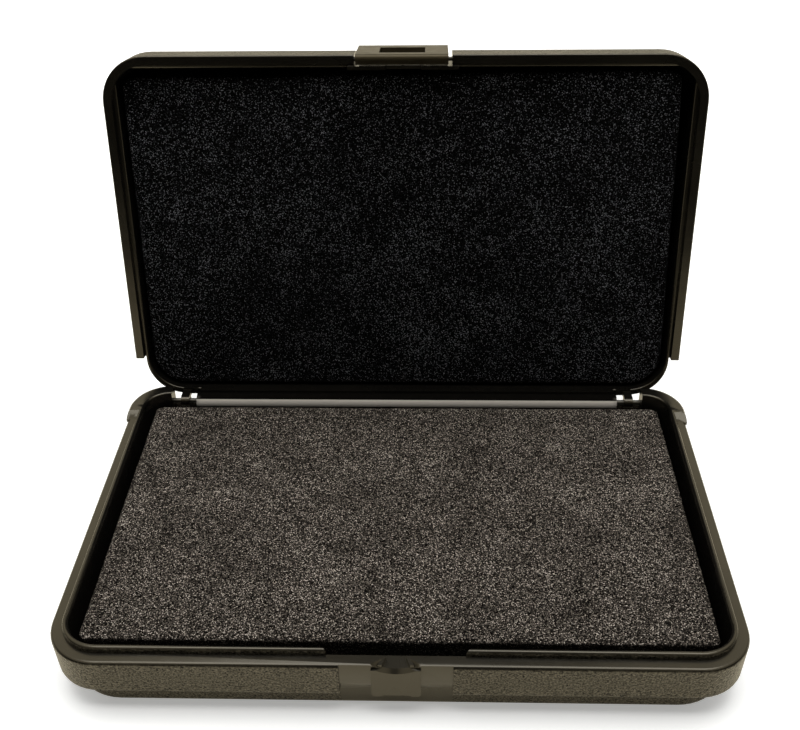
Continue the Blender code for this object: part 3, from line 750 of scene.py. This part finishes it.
@dataclass
class FoamPad:
    """One die-cut pad of open-cell foam: square sides and a face of cut cells, glued in by hand."""

    node: str
    body: Body
    finish: OpenCellFoam
    to_shut: Matrix
    # How far the face's front right corner sits from its true place.
    corner_shift: Place = (0.0, 0.0, 0.0)
    # The box in the shut case's frame that takes in that corner's points.
    corner_low: Place = (0.1, -0.1, 0.025)
    corner_high: Place = (0.2, -0.05, 0.0415)
    merge_within: float = 1e-5
    inset: float = 0.0005
    voxel: float = 0.00105
    slump_width: float = 0.05
    slump_depth: float = 0.0007
    cell_width: float = 0.0016
    cell_depth: float = 0.0003
    fill: float = 0.9

    def block(self) -> bpy.types.Object:
        """Cut the block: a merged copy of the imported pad, a little smaller all round.

        Returns:
            The block, in its shut place.
        """
        mesh = frame["nodes"][self.node].data.copy()
        piece = bpy.data.objects.new(self.node + "_cut_pad", mesh)
        bpy.context.scene.collection.objects.link(piece)
        piece.data.materials.clear()
        piece.matrix_world = self.to_shut
        only(piece)
        bpy.ops.object.transform_apply(location=True, rotation=True, scale=True)
        bpy.ops.object.mode_set(mode="EDIT")
        bpy.ops.mesh.select_all(action="SELECT")
        bpy.ops.mesh.remove_doubles(threshold=self.merge_within)
        bpy.ops.transform.shrink_fatten(value=-self.inset)
        self.shift_corner(piece)
        bpy.ops.object.mode_set(mode="OBJECT")
        return piece

    def shift_corner(self, piece: bpy.types.Object) -> None:
        """Move the face's front right corner to where it was glued.

        Args:
            piece: the block, in edit mode and in its shut place.
        """
        bpy.context.tool_settings.mesh_select_mode = (True, False, False)
        bpy.ops.mesh.select_all(action="DESELECT")
        mesh = bmesh.from_edit_mesh(piece.data)
        for vertex in mesh.verts:
            limits = zip(self.corner_low, vertex.co, self.corner_high)
            vertex.select_set(all(low < place < high for low, place, high in limits))
        bmesh.update_edit_mesh(piece.data)
        bpy.ops.transform.translate(value=self.corner_shift)

    def roughen(self, piece: bpy.types.Object) -> None:
        """Give the block its slight slump and its open cells.

        Args:
            piece: the plain block.
        """
        only(piece)
        remesh = piece.modifiers.new("even_grid", "REMESH")
        remesh.mode = "VOXEL"
        remesh.voxel_size = self.voxel
        remesh.use_smooth_shade = True
        bpy.ops.object.modifier_apply(modifier=remesh.name)
        for name, kind, width, depth in (
            ("slump", "CLOUDS", self.slump_width, self.slump_depth),
            ("cells", "VORONOI", self.cell_width, self.cell_depth),
        ):
            texture = bpy.data.textures.new(self.node + "_" + name, kind)
            texture.noise_scale = width
            displace = piece.modifiers.new(name, "DISPLACE")
            displace.texture = texture
            displace.texture_coords = "LOCAL"
            displace.mid_level = NOISE_MIDDLE
            displace.strength = depth
            bpy.ops.object.modifier_apply(modifier=displace.name)

    def build(self) -> bpy.types.Object:
        """Build the pad, dress it and set it in its place.

        Returns:
            The finished pad.
        """
        piece = self.block()
        self.roughen(piece)
        piece.data.materials.append(self.finish.build())
        piece.matrix_world = self.to_shut.inverted()
        only(piece)
        bpy.ops.object.transform_apply(location=True, rotation=True, scale=True)
        bpy.ops.object.shade_smooth()
        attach(piece, self.body.value)
        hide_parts(self.node)
        LOG.info("%s: %d faces", piece.name, len(piece.data.polygons))
        return piece


@dataclass
class CaseShells:
    """Both moulded halves with their latch and pins, dressed in their finishes."""

    hinge: Hinge
    parting_z: float = 0.028
    front_y: float = -0.0865
    pocket_half: float = 0.02155
    pocket_depth: float = 0.0045
    pocket_margin: float = 0.001
    # A pale strip of painted highlight on the hinge barrel.
    barrel_painted_highlight: Zone = Zone(middle=(0.0, 0.0791, 0.0251), half=(0.108, 0.0015, 0.0018))
    barrel_crown: Zone = Zone(middle=(0.0, 0.0822, 0.0280), half=(0.108, 0.0030, 0.0013))
    edges: SoftEdges = SoftEdges()

    def shell_finish(
        self, name: str, to_shut: Matrix, opens_up: float, **marks: Zone
    ) -> bpy.types.Material:
        """Build one half's finish.

        Args:
            name: the material's name.
            to_shut: the transform from the half's place at rest to its shut place.
            opens_up: one where the half's rim looks up when shut, minus one where it looks down.
            marks: the zones of its painted highlight and of its crown without reflection.

        Returns:
            The material.
        """
        return MouldedShell(
            name,
            to_shut,
            parting_z=self.parting_z,
            opens_up=opens_up,
            pocket_half=self.pocket_half,
            pocket_rear=self.front_y + self.pocket_depth + self.pocket_margin,
            **marks,
        ).build()

    def dress(self) -> None:
        """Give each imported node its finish, and all but the round pins softened edges."""
        base = self.shell_finish(
            "polyethylene_blow_moulded_base",
            Matrix.Identity(4),
            opens_up=1.0,
            # The hinge barrel's pale strip is a painted highlight.
            rubbed_zone=self.barrel_painted_highlight,
            dull_zone=self.barrel_crown,
        )
        lid = self.shell_finish(
            "polyethylene_blow_moulded_lid", self.hinge.to_shut(), opens_up=-1.0
        )
        shading = self.edges.shading()
        latch = MouldedLatch().build()
        pin = DrawnPin().build()
        finishes = {
            "base_shell": base,
            "lid_shell": lid,
            "latch": latch,
            "latch_pin": pin,
            "hinge_pin_left": pin,
            "hinge_pin_right": pin,
        }
        for node, material in finishes.items():
            piece = frame["nodes"][node]
            piece.data.materials.clear()
            piece.data.materials.append(material)
            if material is not pin:
                self.edges.add_to(piece, shading)
            LOG.info("%s: %s", node, material.name)


@dataclass
class Studio:
    """The photograph's camera, a pale floor, a soft lamp overhead and a room round the case.

    The room is bright on its far side and through windows high on both sides, and dim on the
    camera's side and at the ceiling.
    """

    camera_place: Place = (0.01294, -0.3473, 0.3489)
    pitch: float = 35.13
    yaw: float = 2.062
    roll: float = 0.97
    lens: float = 48.27
    sensor_width: float = 36.0
    near_clip: float = 0.01
    floor_size: float = 8.0
    floor_place: Place = (0.0, 0.0, -0.0002)
    floor_colour: int = 0xF4F4F2
    beyond_paper: int = 0x000000
    # Where the paper's light on the case begins, along Y.
    paper_edge: Fade = Fade(-0.33, -0.18, 0.03, 1.0)
    # How much the floor glows by its distance from the case.
    floor_glow: Fade = Fade(0.15, 0.7, 0.39, 0.7)
    lamp_place: Place = (0.0, 0.05, 1.5)
    lamp_width: float = 1.4
    lamp_depth: float = 1.1
    lamp_power: float = 23.0
    daylight: int = 0xFFFFFF
    warm: int = 0xF2E7CA
    # The room's light by the direction that a ray leaves in.
    far_side: Fade = Fade(-0.35, 0.45, 0.03, 0.9)
    ceiling: Fade = Fade(0.66, 0.73, 1.0, 0.04)
    window_sides: Fade = Fade(0.1, 0.22, 0.0, 1.2)
    window_sill: Fade = Fade(0.5, 0.62)
    # What the camera itself sees of the room.
    white: float = 1.0

    def camera(self) -> None:
        """Set the camera from its place and its pitch, yaw and roll."""
        pitch, roll = math.radians(self.pitch), math.radians(self.roll)
        right = Vector((1.0, 0.0, 0.0))
        down = Vector((0.0, -math.sin(pitch), -math.cos(pitch)))
        ahead = Vector((0.0, math.cos(pitch), -math.sin(pitch)))
        across = math.cos(roll) * right + math.sin(roll) * down
        below = math.cos(roll) * down - math.sin(roll) * right
        basis = Matrix((across, -below, -ahead)).transposed().to_4x4()
        turn = Matrix.Rotation(math.radians(self.yaw), 4, "Z")
        data = bpy.data.cameras.new("camera")
        data.sensor_fit = "HORIZONTAL"
        data.sensor_width = self.sensor_width
        data.lens = self.lens
        data.clip_start = self.near_clip
        camera = bpy.data.objects.new("camera", data)
        bpy.context.scene.collection.objects.link(camera)
        camera.matrix_world = Matrix.Translation(self.camera_place) @ turn @ basis
        bpy.context.scene.camera = camera

    def paper(self) -> bpy.types.Material:
        """Build the matt white paper of the floor.

        It is white to the camera all over, and keeps the case's shadow. The light that it throws
        on the case ends at the paper's near edge.

        Returns:
            The material.
        """
        material, tree, shader = start_material("paper_matt_white")
        rays = add_node(tree, "ShaderNodeLightPath")
        place = add_node(tree, "ShaderNodeTexCoord").outputs["Object"]
        axes = add_node(tree, "ShaderNodeSeparateXYZ", {0: place})
        paper = add_node(
            tree, "ShaderNodeMapRange", self.paper_edge.of(axes.outputs["Y"])
        ).outputs[0]
        lit = add_node(
            tree,
            "ShaderNodeMath",
            {0: rays.outputs["Is Camera Ray"], 1: paper},
            operation="MAXIMUM",
        ).outputs[0]
        hue = add_node(
            tree,
            "ShaderNodeMix",
            {
                SHARE: rays.outputs["Is Glossy Ray"],
                FIRST: linear(self.floor_colour),
                SECOND: linear(self.warm),
            },
            data_type="RGBA",
        ).outputs[BLEND]
        tone = add_node(
            tree,
            "ShaderNodeMix",
            {SHARE: lit, FIRST: linear(self.beyond_paper), SECOND: hue},
            data_type="RGBA",
        ).outputs[BLEND]
        seen = add_node(
            tree,
            "ShaderNodeMath",
            {0: rays.outputs["Is Camera Ray"], 1: rays.outputs["Is Glossy Ray"]},
            operation="MAXIMUM",
        ).outputs[0]
        away = add_node(
            tree, "ShaderNodeVectorMath", {0: place}, operation="LENGTH"
        ).outputs["Value"]
        glow = add_node(tree, "ShaderNodeMapRange", self.floor_glow.of(away)).outputs[0]
        shown = add_node(tree, "ShaderNodeMath", {0: seen, 1: lit}, operation="MULTIPLY").outputs[0]
        strength = add_node(
            tree, "ShaderNodeMath", {0: shown, 1: glow}, operation="MULTIPLY"
        ).outputs[0]
        shader.inputs["Roughness"].default_value = 0.9
        shader.inputs["Specular IOR Level"].default_value = 0.2
        tree.links.new(hue, shader.inputs["Emission Color"])
        tree.links.new(tone, shader.inputs["Base Color"])
        tree.links.new(strength, shader.inputs["Emission Strength"])
        return material

    def floor(self) -> None:
        """Lay the floor just under the case."""
        bpy.ops.object.select_all(action="DESELECT")
        bpy.ops.mesh.primitive_plane_add(size=self.floor_size, location=self.floor_place)
        floor = bpy.context.active_object
        floor.name = "floor"
        floor.data.materials.append(self.paper())

    def lamp(self) -> None:
        """Hang the broad lamp overhead."""
        data = bpy.data.lights.new("overhead", "AREA")
        data.shape = "RECTANGLE"
        data.size, data.size_y = self.lamp_width, self.lamp_depth
        data.energy = self.lamp_power
        lamp = bpy.data.objects.new("overhead", data)
        lamp.location = self.lamp_place
        bpy.context.scene.collection.objects.link(lamp)

    def room(self) -> None:
        """Light the room by direction; only reflections see its windows and dark ceiling."""
        world = bpy.data.worlds.new("white_room")
        world.use_nodes = True
        tree = world.node_tree
        rays = add_node(tree, "ShaderNodeLightPath")
        heading = add_node(tree, "ShaderNodeTexCoord").outputs["Generated"]
        axes = add_node(tree, "ShaderNodeSeparateXYZ", {0: heading})
        side = add_node(
            tree, "ShaderNodeMapRange", self.far_side.of(axes.outputs["Y"])
        ).outputs[0]
        high = add_node(tree, "ShaderNodeMapRange", self.ceiling.of(axes.outputs["Z"])).outputs[0]
        sideways = add_node(
            tree, "ShaderNodeMath", {0: axes.outputs["X"]}, operation="ABSOLUTE"
        ).outputs[0]
        beside = add_node(tree, "ShaderNodeMapRange", self.window_sides.of(sideways)).outputs[0]
        raised = add_node(
            tree, "ShaderNodeMapRange", self.window_sill.of(axes.outputs["Z"])
        ).outputs[0]
        windows = add_node(
            tree, "ShaderNodeMath", {0: beside, 1: raised}, operation="MULTIPLY"
        ).outputs[0]
        mirrored = add_node(
            tree, "ShaderNodeMath", {0: side, 1: high, 2: windows}, operation="MULTIPLY_ADD"
        ).outputs[0]
        light = add_node(
            tree,
            "ShaderNodeMapRange",
            {"Value": rays.outputs["Is Glossy Ray"], "To Min": side, "To Max": mirrored},
        ).outputs[0]
        strength = add_node(
            tree,
            "ShaderNodeMapRange",
            {"Value": rays.outputs["Is Camera Ray"], "To Min": light, "To Max": self.white},
        ).outputs[0]
        colour = add_node(
            tree,
            "ShaderNodeMix",
            {
                SHARE: rays.outputs["Is Glossy Ray"],
                FIRST: linear(self.daylight),
                SECOND: linear(self.warm),
            },
            data_type="RGBA",
        ).outputs[BLEND]
        background = tree.nodes["Background"]
        tree.links.new(colour, background.inputs["Color"])
        tree.links.new(strength, background.inputs["Strength"])
        bpy.context.scene.world = world

    def build(self) -> None:
        """Build the whole studio."""
        self.camera()
        self.floor()
        self.lamp()
        self.room()
        bpy.context.scene.view_settings.view_transform = "Standard"


def main() -> None:
    """Dress the case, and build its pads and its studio."""
    logging.basicConfig(level=logging.INFO, format="%(name)s %(message)s")
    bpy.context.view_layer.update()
    hinge = Hinge.named("lid_hinge")
    Studio().build()
    CaseShells(hinge).dress()
    FoamPad(
        node="base_foam",
        body=Body.BASE,
        finish=OpenCellFoam(
            name="polyurethane_foam_open_cell_base",
            pore=0x000000,
            strut=0x26221E,
            tip=0x6A6259,
            spark=0xC4BAAE,
            face=(0.0, 0.0, 1.0),
            side_painted_shade=0.2,
        ),
        to_shut=Matrix.Identity(4),
    ).build()
    FoamPad(
        node="lid_foam",
        # The lid pad's tones are much darker than the base pad's: painted shade, for the little
        # light that reaches its upright face.
        body=Body.LID,
        finish=OpenCellFoam(
            name="polyurethane_foam_open_cell_lid_painted_shade",
            pore=0x000000,
            strut=0x010101,
            tip=0x222224,
            spark=0x929296,
            face=(0.0, -0.988, 0.156),
            side_painted_shade=0.6,
        ),
        to_shut=hinge.to_shut(),
        corner_shift=(-0.0036, -0.0026, -0.0016),
    ).build()


if __name__ == "__main__":
    main()
